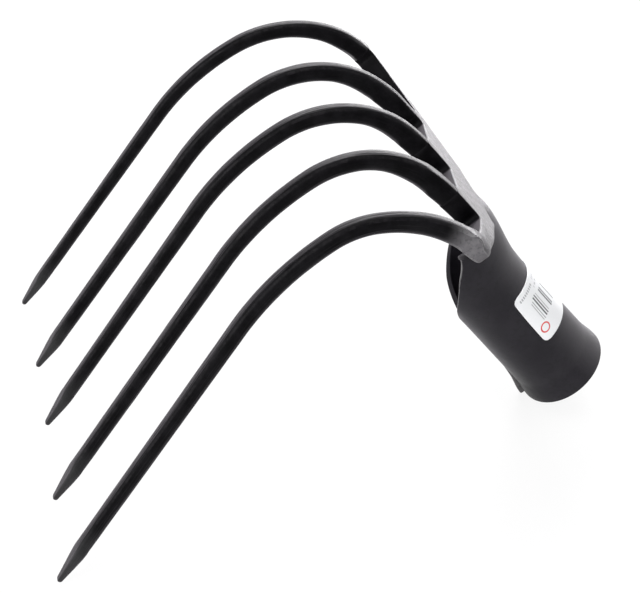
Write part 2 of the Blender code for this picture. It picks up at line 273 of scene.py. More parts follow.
forgedGrain, agedPaint, edgeWear = buildForgedGrain(), buildAgedPaint(), buildEdgeWear()


def coat(tree, look, edge):
    paint, grain = placeGroup(tree, agedPaint, look), placeGroup(tree, forgedGrain, look)
    worn = placeGroup(tree, edgeWear, {"Edge": edge, **look})["Worn"]
    tone = mixColors(worn, paint["Color"], look["bare"])
    tone = mixColors(grain["Pitted"] * look["hollowShade"], tone, look["hollow"])
    return tone, paint["Roughness"], grain["Height"]


# How much painted sheen shows on a surface that turns away from the eye: a lighter tone at grazing angles
# stands in for light
def grazingSheenShare(tree, share, start, end):
    facing = tree.nodes.new("ShaderNodeLayerWeight")
    facing.inputs["Blend"].default_value = 0.5
    return ramp(Value(facing.outputs["Facing"]), start, end) * share


def startFinish(name, specular):
    material = bpy.data.materials.new(name)
    material.use_nodes = True
    shader = material.node_tree.nodes["Principled BSDF"]
    shader.inputs["Specular IOR Level"].default_value = specular
    return material, material.node_tree, shader


def endFinish(tree, shader, tone, roughness, height):
    bump = tree.nodes.new("ShaderNodeBump")
    bump.inputs["Distance"].default_value = 0.001  # the heights are in millimetres
    feed(bump.inputs["Height"], height)
    feed(shader.inputs["Base Color"], tone)
    feed(shader.inputs["Roughness"], roughness)
    feed(shader.inputs["Normal"], bump.outputs["Normal"])


tineLook = {
    "Paint": (0.0016, 0.0014, 0.0019, 1.0), "Dusty": (0.0055, 0.0051, 0.0062, 1.0),
    "Patches": 110.0, "Roughness": 0.45, "Spread": 0.1,
    "Grain": 2600.0, "Grain Depth": 0.014, "Pits": 620.0, "Pit Depth": 0.022,
    "Dents": 95.0, "Dent Depth": 0.12,
    "Amount": 0.1, "Ragged": 300.0,
    "bare": (0.010, 0.0092, 0.0105, 1.0), "hollow": (0.001, 0.001, 0.001, 1.0), "hollowShade": 0.3,
}
# the plate's rough face: its grey is partly the forging's own grain and partly painted reflection of light
# caught at a grazing angle
plateGrainAndSheenLook = {
    "Paint": (0.150, 0.144, 0.153, 1.0), "Dusty": (0.19, 0.184, 0.193, 1.0),
    "Patches": 300.0, "Roughness": 0.42, "Spread": 0.12,
    "Grain": 2200.0, "Grain Depth": 0.045, "Pits": 900.0, "Pit Depth": 0.09,
    "Dents": 120.0, "Dent Depth": 0.2,
    "Amount": 0.6, "Ragged": 380.0,
    "bare": (0.25, 0.244, 0.252, 1.0), "hollow": (0.05, 0.049, 0.051, 1.0), "hollowShade": 0.35,
}
forged = {  # tines and plate alike; the plate's rough face is part metal
    # the share and tone of the painted shade towards the near elbow
    "specular": 0.055, "metallic": 0.65, "elbowShadeShare": 0.68, "elbowShadeTone": (0.045, 0.044, 0.046, 1.0),
    # rim and its tone: painted sheen, lighter where the surface turns away from the eye
    "rim": (0.85, 0.18, 0.78), "grazingSheenTone": (0.080, 0.074, 0.082, 1.0),  # share, start and end
    "pointShare": 0.7, "pointTone": (0.036, 0.036, 0.037, 1.0),
}
socketLook = {
    "Paint": (0.0095, 0.0082, 0.0118, 1.0), "Dusty": (0.0155, 0.0140, 0.0182, 1.0),
    "Patches": 60.0, "Roughness": 0.44, "Spread": 0.1,
    "Grain": 2400.0, "Grain Depth": 0.014, "Pits": 500.0, "Pit Depth": 0.01,
    "Dents": 60.0, "Dent Depth": 0.12,
    "Amount": 0.6, "Ragged": 320.0,
    "bare": (0.10, 0.097, 0.10, 1.0), "hollow": (0.005, 0.005, 0.005, 1.0), "hollowShade": 0.3,
    "specular": 0.16, "neckSheenTone": (0.085, 0.080, 0.088, 1.0), "shadedTone": (0.004, 0.0035, 0.005, 1.0),
    # rim and its tone: painted sheen, lighter where the socket turns away from the eye
    "rim": (0.75, 0.5, 1.0), "grazingSheenTone": (0.10, 0.093, 0.105, 1.0),
}


def buildSocketFinish():
    material, tree, shader = startFinish("socketPaint", socketLook["specular"])
    tone, roughness, height = coat(tree, socketLook, readValue(tree, "edge"))
    # painted sheen: lighter towards the neck and across the back, where light reflects
    tone = mixColors(readValue(tree, "litSheen"), tone, socketLook["neckSheenTone"])
    # painted sheen where the socket turns away from the eye
    tone = mixColors(grazingSheenShare(tree, *socketLook["rim"]), tone, socketLook["grazingSheenTone"])
    # painted shade near the rim
    tone = mixColors(readValue(tree, "shaded"), tone, socketLook["shadedTone"])
    endFinish(tree, shader, tone, roughness, height)
    return material


# One finish for the plate and the tines, from the rough face to the smoother paint by the value onTine; the
# rough face's light tone is partly painted reflection
def buildForgedFinish():
    material, tree, shader = startFinish("forgedPaint", forged["specular"])
    edge, onTine = readValue(tree, "edge"), readValue(tree, "onTine")
    rough, plain = coat(tree, plateGrainAndSheenLook, edge), coat(tree, tineLook, edge)
    # painted shade towards the near elbow
    elbowShade = readValue(tree, "elbowShade") * forged["elbowShadeShare"]
    tone = mixColors(onTine, mixColors(elbowShade, rough[0], forged["elbowShadeTone"]), plain[0])
    tone = mixColors(readValue(tree, "point") * forged["pointShare"], tone, forged["pointTone"])
    # painted sheen where the surface turns away from the eye
    tone = mixColors(grazingSheenShare(tree, *forged["rim"]), tone, forged["grazingSheenTone"])
    feed(shader.inputs["Metallic"], blend(onTine, forged["metallic"], 0.0))
    endFinish(tree, shader, tone, blend(onTine, rough[1], plain[1]), blend(onTine, rough[2], plain[2]))
    return material


# The label's own plain print, by the place on the paper in millimetres: across and along
def buildPaperFinish():
    material, tree, shader = startFinish("labelPaper", labelPrint["specular"])
    spot = tree.nodes.new("ShaderNodeUVMap")
    spot.uv_map = "labelFace"
    across, along = partsOf(Value(spot.outputs[0]))[:2]
    across = (across - 0.5) * (label["width"] * head["perMetre"])
    along = (along - 0.5) * (label["length"] * head["perMetre"])

    def within(value, low, high):
        soft = labelPrint["softness"]
        return ramp(value, low - soft, low + soft) * ramp(value, high - soft, high + soft, 1.0, 0.0)

    marks = []
    for middle, width, bottom, top, strength in labelPrint["bars"]:
        bar = within(across, middle - width / 2, middle + width / 2) * within(along, bottom, top)
        marks.append(bar * strength)
    for level, height, low, high, pitch, strength in labelPrint["dashRows"]:
        beat = calc("ABSOLUTE", calc("FRACT", across / pitch) - 0.5)
        dash = ramp(beat, *labelPrint["dashRange"], 1.0, 0.0) * within(across, low, high)
        marks.append(dash * within(along, level - height / 2, level + height / 2) * strength)
    ink = marks[0]
    for mark in marks[1:]:
        ink = calc("MAXIMUM", ink, mark)
    paperTone = noise(objectPlace(tree), *labelPrint["grain"])
    paper = mixColors(paperTone, labelPrint["paper"], labelPrint["paperShade"])
    tone = mixColors(ink, paper, labelPrint["ink"])
    offsets = [calc("POWER", value - middle, 2.0)
               for value, middle in zip((across, along), labelPrint["ringMiddle"])]
    reach = calc("SQRT", offsets[0] + offsets[1])
    ring = within(reach, labelPrint["ringRadius"] - labelPrint["ringLine"], labelPrint["ringRadius"])
    tone = mixColors(ring, tone, labelPrint["red"])
    endFinish(tree, shader, tone, labelPrint["roughness"], paperTone * labelPrint["grainDepth"])
    return material


# Tines

tine = {
    "Root Side": (0.0076, 0.0083, 0.0082, 0.0079, 0.0078),
    "Point Side": (0.0058, 0.0063, 0.0061, 0.0061, 0.0060),
    "Bend Height": (0.0430, 0.0373, 0.0373, 0.0373, 0.0373),  # over the fan's foot
    # radius and turn
    "firstBends": ((0.0421, 33.5), (0.0606, 17.8), (0.1024, 5.9), (0.1012, 10.2), (0.0554, 52.6)),
    "middleRadii": (0.0502, 0.0452, 0.0454, 0.0407, 0.0349),
    "turnBeforeLast": 82.2,
    "lastRadius": 0.1149,
    "lastTurns": (25.5, 24.3, 24.9, 24.4, 24.7),
    "footY": (0.0770, 0.0398, -0.0007, -0.0411, -0.0830),
    "splay": (0.0976, 0.0180, 0.0020, -0.0299, -0.0390),
    "tipHeights": (0.0, 0.0049, 0.0055, 0.0044, 0.0),
    "Heel Depth": (0.0008, 0.0012, 0.0014, 0.0014, 0.0002),
    "Heel End": (0.050, 0.053, 0.050, 0.060, 0.050),
    "Square End": (0.0478, 0.0415, 0.0420, 0.0555, 0.0478),  # the upper chamfers begin here, over the foot
    "stubRun": 0.0045,  # each root runs on this far as part of the plate's piece
    "Outer Way": (1.0, 0.0, 0.0, 0.0, -1.0),  # which side is an outer side of the fan
    "Seed": (3, 14, 25, 36, 47),
    "step": 0.001, "firstPoints": 40, "lastPoints": 120,
}
tineShapeSizes = {
    "Point Length": 0.022, "Point Spread": 1.17, "Tip Width": 0.0026, "Tip Thickness": 0.0022,
    "Chamfer Share": 0.21, "Root Chamfer Share": 0.07, "Lower Square End": 0.0478, "Chamfer Run": 0.004,
    "Heel Rise": 0.028, "Heel Fade": 0.022, "Plate Thickness": head["plateThickness"],
    "Edge Softness": 0.0017, "Dents": 0.00035, "Overlap": 0.0012, "Finish Run": 0.015,
}
fan = {
    "slope": 0.613, "footWidth": 0.0268, "shoulderRadius": 0.009,
    # where the gaps end, over the foot: beside the tine at +y and beside the one at -y
    "gapEnds": ((0.0430, 0.0250), (0.0250, 0.0360), (0.0250, 0.0360), (0.0250, 0.0430)),
    "gapFillet": 0.0022,
    "firstGuess": 0.085, "guesses": 5,  # for the outer tines' outer sides
}
fanAngle = math.atan2(1.0, fan["slope"])


# Rows of distance from the fan's foot, x, z and direction, straight on from a row
def straightRun(row, length, count):
    distance, x, z, angle = row
    runs = np.linspace(0.0, length, count)
    return np.stack([distance + runs, x + runs * math.cos(angle), z + runs * math.sin(angle),
                     np.full(count, angle)], axis=1)


# Such rows for the middle of a tine as seen from the side
def tinePath(index):
    firstRadius, firstTurn = tine["firstBends"][index]
    bends = ((firstRadius, firstTurn), (tine["middleRadii"][index], tine["turnBeforeLast"] - firstTurn),
             (tine["lastRadius"], tine["lastTurns"][index]))
    start = headPoint(head["footU"], 0.0, head["plateBack"] - head["plateThickness"] / 2)
    row = (0.0, start[0], start[2], math.radians(head["tilt"]))
    path = [straightRun(row, tine["Bend Height"][index], tine["firstPoints"])]
    for radius, turn in bends:
        distance, x, z, angle = path[-1][-1]
        parts = np.linspace(0.0, math.radians(turn), int(radius * math.radians(turn) / tine["step"]) + 2)[1:]
        path.append(np.stack([distance + parts * radius,
                              x + radius * (np.sin(angle + parts) - math.sin(angle)),
                              z - radius * (np.cos(angle + parts) - math.cos(angle)), angle + parts], axis=1))
    distance, x, z, angle = path[-1][-1]
    floorHeight = tine["tipHeights"][index] + tineShapeSizes["Tip Width"] / 2
    path.append(straightRun(path[-1][-1], (z - floorHeight) / -math.sin(angle), tine["lastPoints"])[1:])
    return np.concatenate(path)


tinePaths = [tinePath(index) for index in range(5)]


def middleY(index, distance):
    return np.take(tine["footY"], index) + np.take(tine["splay"], index) * distance


# Height over the fan's foot at which the round shoulder of its outer edge ends
def shoulderTop(outer):
    arcY = outer - fan["shoulderRadius"] * (1.0 - math.cos(fanAngle))
    return (arcY - fan["footWidth"]) * fan["slope"] + fan["shoulderRadius"] * math.sin(fanAngle)


def outerEdge(index):
    outer = fan["firstGuess"]
    for guess in range(fan["guesses"]):
        outer = abs(middleY(index, shoulderTop(outer))) + tine["Root Side"][index] / 2
    return outer


# Where the root's two corners are, at -y and at +y: heights over the foot
def rootCorners(index):
    low = fan["gapEnds"][index][0] if index < 4 else shoulderTop(outerEdge(index))
    high = fan["gapEnds"][index - 1][1] if index > 0 else shoulderTop(outerEdge(index))
    return low, high


rootHeights = [min(rootCorners(index)) for index in range(5)]
stubTops = [max(rootCorners(index)) + tine["stubRun"] for index in range(5)]


def tineSide(index, distance):
    bend = tine["Bend Height"][index]
    pointStart = tinePaths[index][-1, 0] - tineShapeSizes["Point Length"]
    taper = np.clip((distance - bend) / (pointStart - bend), 0.0, 1.0)
    return tine["Root Side"][index] + (tine["Point Side"][index] - tine["Root Side"][index]) * taper


# How far a tine reaches outwards and inwards from its middle
def tineReach(index, distance):
    side, run = tineSide(index, distance), distance - rootHeights[index]
    out = (side + (head["plateThickness"] - side) * fade(run, 0.0, tine["Heel End"][index])) / 2
    heel = rise(run, 0.0, tineShapeSizes["Heel Rise"])
    heel = heel * fade(distance, tine["Heel End"][index], tineShapeSizes["Heel Fade"])
    return out, out + tine["Heel Depth"][index] * heel


tineRules = {
    "spreadRun": 0.22, "narrowRange": (0.16, 1.21), "narrowGain": 1.02,  # shares of the point's length
    "thinGain": 1.05, "bluntStart": 0.93, "pointRange": (0.6, 1.6),
    "least": 0.00001, "softShare": 0.45, "edgeRange": (-0.0001, 0.0005),
    "dentNoise": (60.0, 2.5, 0.5), "dentBias": 0.75, "dentRange": (0.003, 0.025), "dentFade": 400.0,
    "overlapShrink": 0.996, "overlapStart": 0.6,
    "roughRange": (-2.2, 0.3), "roughFrom": (-0.8, -0.62),  # by the section's turn towards the outer side
    "rows": 380, "columns": 96,
}
ownSizes = ("Root Side", "Point Side", "Bend Height", "Square End", "Heel Depth", "Heel End", "Outer Way")


def buildTineShape():
    tree = bpy.data.node_groups.new("tineShape", "GeometryNodeTree")
    sizes = (*ownSizes, "Root Height", "Start", *tineShapeSizes)
    for kind, names in (("Geometry", ("Geometry",)), ("Float", sizes), ("Int", ("Rows", "Columns", "Seed")),
                        ("Material", ("Material",))):
        for name in names:
            tree.interface.new_socket(name, in_out="INPUT", socket_type="NodeSocket" + kind)
    tree.interface.new_socket("Geometry", in_out="OUTPUT", socket_type="NodeSocketGeometry")
    given = named(tree.nodes.new("NodeGroupInput").outputs)

    def node(kind, **links):
        made = tree.nodes.new("GeometryNode" + kind)
        for label, value in links.items():
            feed(made.inputs[label.replace("_", " ")], value)
        return made

    def result(kind, **links):
        return Value(node(kind, **links).outputs[0])

    columns = given["Columns"] + 1.0
    made = result("MeshGrid", Size_X=1.0, Size_Y=1.0, Vertices_X=given["Rows"], Vertices_Y=columns)
    gridX, gridY = partsOf(result("InputPosition"))[:2]
    row = calc("ROUND", (gridX + 0.5) * (given["Rows"] - 1.0))
    turn = (gridY + 0.5) * (2.0 * math.pi)
    cosine, sine = calc("COSINE", turn), calc("SINE", turn)

    # rows lie closer together towards the point, and the first and the last one close the ends
    left = 1.0 - (row - 1.0) / (given["Rows"] - 3.0)
    left = calc("MINIMUM", calc("MAXIMUM", left, 0.0), 1.0)
    path = result("MeshToCurve", Mesh=given["Geometry"])
    total = result("CurveLength", Curve=path)
    along = (total - given["Start"]) * (1.0 - (left * left + left) * 0.5) + given["Start"]
    sample = node("SampleCurve")
    sample.mode = "LENGTH"
    feed(sample.inputs["Curves"], path)
    feed(sample.inputs["Length"], along)
    position, tangent = Value(sample.outputs["Position"]), Value(sample.outputs["Tangent"])
    sideways = (0.0, 1.0, 0.0)
    outward = calcVector("NORMALIZE", calcVector("CROSS_PRODUCT", sideways, tangent))

    # width and depth along the tine
    pointStart = total - given["Point Length"]
    side = ramp(along, given["Bend Height"], pointStart, given["Root Side"], given["Point Side"], "LINEAR")
    fromRoot = along - given["Root Height"]
    outHalf = ramp(fromRoot, 0.0, given["Heel End"], given["Plate Thickness"], side) * 0.5
    heel = ramp(fromRoot, 0.0, given["Heel Rise"])
    heel = heel * ramp(along - given["Heel End"], 0.0, given["Heel Fade"], 1.0, 0.0)
    inHalf = heel * given["Heel Depth"] + outHalf

    # width and depth along its point
    run = calc("MAXIMUM", (along - pointStart) / given["Point Length"], 0.0)
    wide = side * ramp(run, 0.0, tineRules["spreadRun"], 1.0, given["Point Spread"])
    wide = blend(ramp(run, *tineRules["narrowRange"]) * tineRules["narrowGain"], wide, given["Tip Width"])
    pastEnd = calc("MAXIMUM", run - tineRules["bluntStart"], 0.0) / (1.0 - tineRules["bluntStart"])
    blunt = calc("SQRT", calc("MAXIMUM", 1.0 - pastEnd * pastEnd, 0.0))
    halfWide = wide * blunt * 0.5
    upper = calc("GREATER_THAN", sine, 0.0)
    halfDeep = blend(upper, inHalf, outHalf)
    halfDeep = blend(run * tineRules["thinGain"], halfDeep, given["Tip Thickness"] * 0.5) * blunt
    squareEnd = blend(upper, given["Lower Square End"], given["Square End"])
    shares = given["Root Chamfer Share"], given["Chamfer Share"]
    least = calc("MINIMUM", halfWide, halfDeep)
    chamfer = least * 2.0 * ramp(along - squareEnd, 0.0, given["Chamfer Run"], *shares)

    # distance from the middle to the section's edge: two pairs of faces and four chamfers
    across, deep = (calc("MAXIMUM", calc("ABSOLUTE", part), tineRules["least"]) for part in (cosine, sine))
    soft = calc("MINIMUM", given["Edge Softness"], least * tineRules["softShare"])
    flats = calc("SMOOTH_MIN", halfWide / across, halfDeep / deep, soft)
    bevels = (halfWide + halfDeep - chamfer) / (across + deep)
    reach = calc("SMOOTH_MIN", flats, bevels, soft)
    edge = ramp(flats - bevels, *tineRules["edgeRange"])
    fromStart = along - given["Start"]
    dent = noise(position, *tineRules["dentNoise"], turn + given["Seed"]) - tineRules["dentBias"]
    dent = dent * given["Dents"] * ramp(fromStart, *tineRules["dentRange"])
    reach = reach + dent * calc("MINIMUM", halfWide * tineRules["dentFade"], 1.0)
    overlap = given["Overlap"]
    shrinkStart = overlap * tineRules["overlapStart"]
    reach = reach * ramp(fromStart, shrinkStart, overlap, tineRules["overlapShrink"], 1.0)
    reach = reach * calc("GREATER_THAN", row, 0.5) * calc("LESS_THAN", row, given["Rows"] - 1.5)
    place = calcVector("ADD", position, calcVector("SCALE", sideways, reach * cosine))
    place = calcVector("ADD", place, calcVector("SCALE", outward, reach * sine))

    # the outer tines begin with the plate's rough face, all but on their inner sides; its light tone is
    # partly painted reflection
    outer = cosine * given["Outer Way"]
    rough = ramp(outer - sine, *tineRules["roughRange"]) * ramp(outer, *tineRules["roughFrom"])
    rough = rough * calc("ABSOLUTE", given["Outer Way"])
    rough = rough * ramp(fromStart, overlap, given["Finish Run"], 1.0, 0.0)
    pointEnds = [given["Point Length"] * share for share in tineRules["pointRange"]]
    values = {"onTine": 1.0 - rough, "edge": edge, "point": ramp(total - along, *pointEnds, 1.0, 0.0)}
    for name, value in values.items():
        store = node("StoreNamedAttribute", Geometry=made, Name=name)
        store.data_type = "FLOAT"
        feed(store.inputs["Value"], value)
        made = Value(store.outputs[0])
    made = result("SetPosition", Geometry=made, Position=place)
    made = result("MergeByDistance", Geometry=made, Distance=head["mergeDistance"])
    made = result("SetShadeSmooth", Geometry=made)
    made = result("RealizeInstances", Geometry=made)
    made = result("SetMaterial", Geometry=made, Material=given["Material"])
    feed(tree.nodes.new("NodeGroupOutput").inputs[0], made)
    return tree


def buildTines(tree, material):
    for index, path in enumerate(tinePaths):
        y = rimMiddle[1] + middleY(index, path[:, 0])
        points = np.stack([path[:, 1], y, path[:, 2]], axis=1)
        links = [(start, start + 1) for start in range(len(points) - 1)]
        item = makePiece(f"tine{index + 1}Forged", points, [], links)
        shape = item.modifiers.new("tineShape", "NODES")
        shape.node_group = tree
        values = {name: tine[name][index] for name in (*ownSizes, "Seed")}
        values |= tineShapeSizes | {
            "Root Height": rootHeights[index], "Start": stubTops[index] - tineShapeSizes["Overlap"],
            "Rows": tineRules["rows"], "Columns": tineRules["columns"], "Material": material}
        for socket in tree.interface.items_tree:
            if socket.in_out == "INPUT" and socket.name in values:
                shape[socket.identifier] = values[socket.name]
        made = bpy.data.meshes.new_from_object(item.evaluated_get(bpy.context.evaluated_depsgraph_get()))
        item.modifiers.clear()
        item.data = made
        finishPiece(item, f"tine_{index + 1}", material)


# Socket

socket = {
    "sheet": 0.0028, "radius": 0.0206, "rimFlare": 0.0014, "flareLength": 0.014,
    "waistDepth": 0.0009, "waistU": 0.060, "waistLength": 0.026,
    "seamGap": 0.0009, "seamLift": 0.0024, "liftLength": 0.030, "liftTurn": 145.0, "liftSpread": 34.0,
    "nearMouthU": 0.062, "farMouthU": 0.057,
    # share of the mouth's length and degrees from the seam
    "nearMouth": ((0.0, 0.0), (0.11, 13.0), (0.30, 30.0), (0.45, 43.5), (0.60, 54.5), (0.73, 63.0),
                  (0.83, 72.0), (0.92, 79.0), (1.0, 83.0)),
    "farMouth": ((0.0, 0.0), (0.12, 15.0), (0.28, 33.0), (0.37, 44.0), (0.46, 57.0), (0.60, 76.0),
                 (0.68, 90.0), (0.76, 101.0), (0.86, 109.0), (1.0, 114.0)),
    "topU": 0.1050,  # the sheet runs on a little way into the neck
    "edgeRadius": 0.0005, "rimRadius": 0.0007, "wornWidth": 0.0008, "cleanEdge": 0.002,
    # painted sheen and painted shade: where the socket is lighter or darker because of how light falls; turns
    # are degrees from the back
    "litSheenStart": 0.080, "litSheenTurn": -85.0, "litSheenSpread": 60.0,
    "backLitSheen": 0.75, "backTurns": (-78.0, 75.0), "backSpread": 62.0,
    "shadedStart": 0.010, "shadedRun": 0.035, "shadedTurn": -158.0, "shadedSpread": 45.0,
    "rowStep": 0.0009, "columns": 130,
}


def waistDepth(u):
    return socket["waistDepth"] * np.exp(-((u - socket["waistU"]) / socket["waistLength"]) ** 2)


def socketRadius(u):
    return socket["radius"] + socket["rimFlare"] * fade(u, 0.0, socket["flareLength"]) - waistDepth(u)


def middleRadius(u):
    return socketRadius(u) - socket["sheet"] / 2


def socketBack(u):
    start = socket["waistU"] + socket["waistLength"] / 2
    out = head["plateBack"] + head["neckRise"] - socket["radius"]
    return socketRadius(u) + out * rise(u, start, head["neckU"] - start) - waistDepth(u) / 2


# Length of sheet from the back to the edge on one side
def flankLength(u, way):
    mouthU = socket[way + "MouthU"]
    angle = np.interp((u - mouthU) / (head["neckU"] - mouthU), *zip(*socket[way + "Mouth"]))
    return np.radians(180.0 - angle) * middleRadius(u) - socket["seamGap"] / 2


# Where a point of flat sheet goes when the sheet is bent: length is across, offset from its middle layer
def bendPoints(length, u, offset, radius, back, thickness, lift=0.0):
    turn = length / radius
    reach = radius + offset + lift
    return headPoint(u, reach * np.sin(turn), back - thickness / 2 - radius + reach * np.cos(turn))


def seamLift(u, turn):
    lift = socket["seamLift"] * fade(u, 0.0, socket["liftLength"])
    return lift * rise(np.degrees(turn), socket["liftTurn"], socket["liftSpread"])


# Distances from a rounded edge and how far the face drops at each of them
def roundSteps(radius, count=5):
    angles = np.linspace(0.0, math.pi / 2, count)
    away = np.append(radius * (1.0 - np.cos(angles)), radius * head["edgeBand"])
    return away, np.append(radius * (1.0 - np.sin(angles)), 0.0)


# Faces between neighbours in a grid of the points' numbers
def gridFaces(grid):
    corners = [grid[:-1, :-1], grid[:-1, 1:], grid[1:, 1:], grid[1:, :-1]]
    return np.stack(corners, axis=-1).reshape(-1, 4).tolist()


# A closed piece from two grids of points, rows by columns, one over the other
def closedSheet(name, outer, inner):
    upper = np.arange(outer[..., 0].size).reshape(outer.shape[:2])
    lower = upper + upper.size
    around = np.concatenate([upper[0], upper[1:, -1], upper[-1, -2::-1], upper[-2::-1, 0]])
    faces = gridFaces(upper) + gridFaces(lower[::-1]) + gridFaces(np.stack([around + upper.size, around]))
    return makePiece(name, np.concatenate([outer.reshape(-1, 3), inner.reshape(-1, 3)]), faces)


def buildSocket(material):
    rim, rimDrop = roundSteps(socket["rimRadius"])
    count = int((socket["topU"] - rim[-1]) / socket["rowStep"])
    rows = np.concatenate([rim, np.linspace(rim[-1], socket["topU"], count)[1:]])
    rowDrop = np.concatenate([rimDrop, np.zeros(count - 1)])
    flanks = [flankLength(rows, way) for way in ("near", "far")]
    slopes = [np.sqrt(1.0 + np.gradient(side, rows) ** 2)[:, None] for side in flanks]
    near, far = (side[:, None] for side in flanks)
    edge, edgeDrop = roundSteps(socket["edgeRadius"])
    middle = np.linspace(0.0, 1.0, socket["columns"])[1:-1]
    low, high = edge * slopes[0] - near, far - edge[::-1] * slopes[1]
    length = np.concatenate([low, low[:, -1:] + (high[:, :1] - low[:, -1:]) * middle, high], axis=1)
    columnDrop = np.concatenate([edgeDrop, np.zeros(len(middle)), edgeDrop[::-1]])
    drop = np.minimum(np.hypot(rowDrop[:, None], columnDrop), socket["rimRadius"])
    u = np.repeat(rows[:, None], length.shape[1], axis=1)
    radius, half = middleRadius(u), socket["sheet"] / 2
    lift = seamLift(u, length / radius)
    faces = [bendPoints(length, u, way * (half - drop), radius, socketBack(u), socket["sheet"], lift)
             for way in (1.0, -1.0)]
    item = closedSheet("socketRolled", *faces)
    toEdge = np.minimum(u, np.minimum(length + near, far - length))
    farEdge = (far - length < socket["cleanEdge"]) & (u > socket["farMouthU"])
    worn = np.where(farEdge, 0.0, np.exp(-toEdge / socket["wornWidth"]))
    storeValue(item, "edge", np.tile(worn.ravel(), 2))
    # painted sheen towards the neck and across the back
    litSheen = rise(u, socket["litSheenStart"], head["neckU"] - socket["litSheenStart"])
    turn = np.degrees(length / radius)
    litSheen = litSheen * rise(turn, socket["litSheenTurn"], socket["litSheenSpread"])
    first, last = socket["backTurns"]
    back = rise(turn, first, socket["backSpread"]) * rise(-turn, -last, socket["backSpread"])
    litSheen = np.maximum(litSheen, socket["backLitSheen"] * back)
    # painted shade near the rim on one flank
    shaded = fade(u, socket["shadedStart"], socket["shadedRun"])
    shaded = shaded * fade(turn, socket["shadedTurn"], socket["shadedSpread"])
    storeValue(item, "litSheen", np.concatenate([litSheen.ravel(), np.zeros(litSheen.size)]))
    storeValue(item, "shaded", np.tile(shaded.ravel(), 2))
    finishPiece(item, "socket", material)


# Head plate with its neck

plate = {
    "neckStart": 0.1042, "neckLip": 0.00004,
    "neckEdge": 0.0005, "fanEdge": 0.0018, "gapEdge": 0.0007, "edgeRun": 0.008,
    "stubEdgeStart": 0.006, "stubEdgeRun": 0.009,  # before the shoulder's top the edge becomes a stub's
    "outlineStep": 0.0007, "lastStep": 0.0001, "neckStep": 0.0012, "faceStep": 0.0018,
    "gapPoints": (8, 26), "bottomPoints": 60, "cornerPoints": 9,
    "faceReach": 0.095, "faceOverlap": 0.001, "clearance": 0.0008, "leastCurve": 0.01,
    "leastClimb": 1e-12, "leastGap": 1e-7,
    "heelSpread": 0.003,  # the tines' depth runs out over this width of the plate's face
    "rollDepth": 0.0021, "rollWidth": 0.0085,  # the outer face rolls over along the shoulders
    "rollStart": 0.020, "rollRun": 0.014, "rollStop": 0.006, "rollStopRun": 0.005,
    "rollFrom": 0.02, "rollClear": 0.004,
    "edgeRows": 6, "sideRows": 4, "elbowShadeRows": 2,  # of the rows of a rounded edge
    "finishRun": 0.012,  # the smoother paint of the tines begins over this length of their roots
    "stubWidth": 0.003, "stubFade": 0.003, "outerWidth": 0.0026, "outerFade": 0.0010, "outerCrest": 0.53,
    "sideStart": 0.008, "sideRun": 0.010,
    # where the painted shade towards the near elbow ends and how far it runs
    "elbowShadeEnd": 0.092, "elbowShadeRun": 0.062, "gapWear": 0.8,
}


# Half width of the neck and the fan on one side, up to the outer tine's outer side
def fanHalfWidth(u, outer, foot):
    start = head["neckU"] + head["jointGap"]
    onLine = fan["footWidth"] + (u - head["footU"]) / fan["slope"]
    onLineStart = fan["footWidth"] + (start - head["footU"]) / fan["slope"]
    share = (u - start) / (head["footU"] - start)
    onLine = np.maximum(onLine, onLineStart) + (foot - onLineStart) * fade(share, 0.0, 1.0)
    arcEnd = head["footU"] + shoulderTop(outer)
    arcU = arcEnd - fan["shoulderRadius"] * math.sin(fanAngle)
    inArc = np.sqrt(np.maximum(fan["shoulderRadius"] ** 2 - np.maximum(arcEnd - u, 0.0) ** 2, 0.0))
    return np.where(u <= arcU, onLine, outer - fan["shoulderRadius"] + inArc)


# Points of a round corner between two straight edges
def roundCorner(before, corner, after, radius):
    ways = [(end - corner) / np.linalg.norm(end - corner) for end in (before, after)]
    half = math.acos(float(np.clip(ways[0] @ ways[1], -1.0, 1.0))) / 2
    bisector = (ways[0] + ways[1]) / np.linalg.norm(ways[0] + ways[1])
    middle = corner + bisector * radius / math.sin(half)
    ends = [corner + way * radius / math.tan(half) - middle for way in ways]
    points = []
    for share in np.linspace(0.0, 1.0, plate["cornerPoints"]):
        way = ends[0] * (1.0 - share) + ends[1] * share
        points.append(middle + way / np.linalg.norm(way) * radius)
    return points


def tineEdge(index, height, way):
    return np.array([middleY(index, height) + way * tineSide(index, height) / 2, head["footU"] + height])


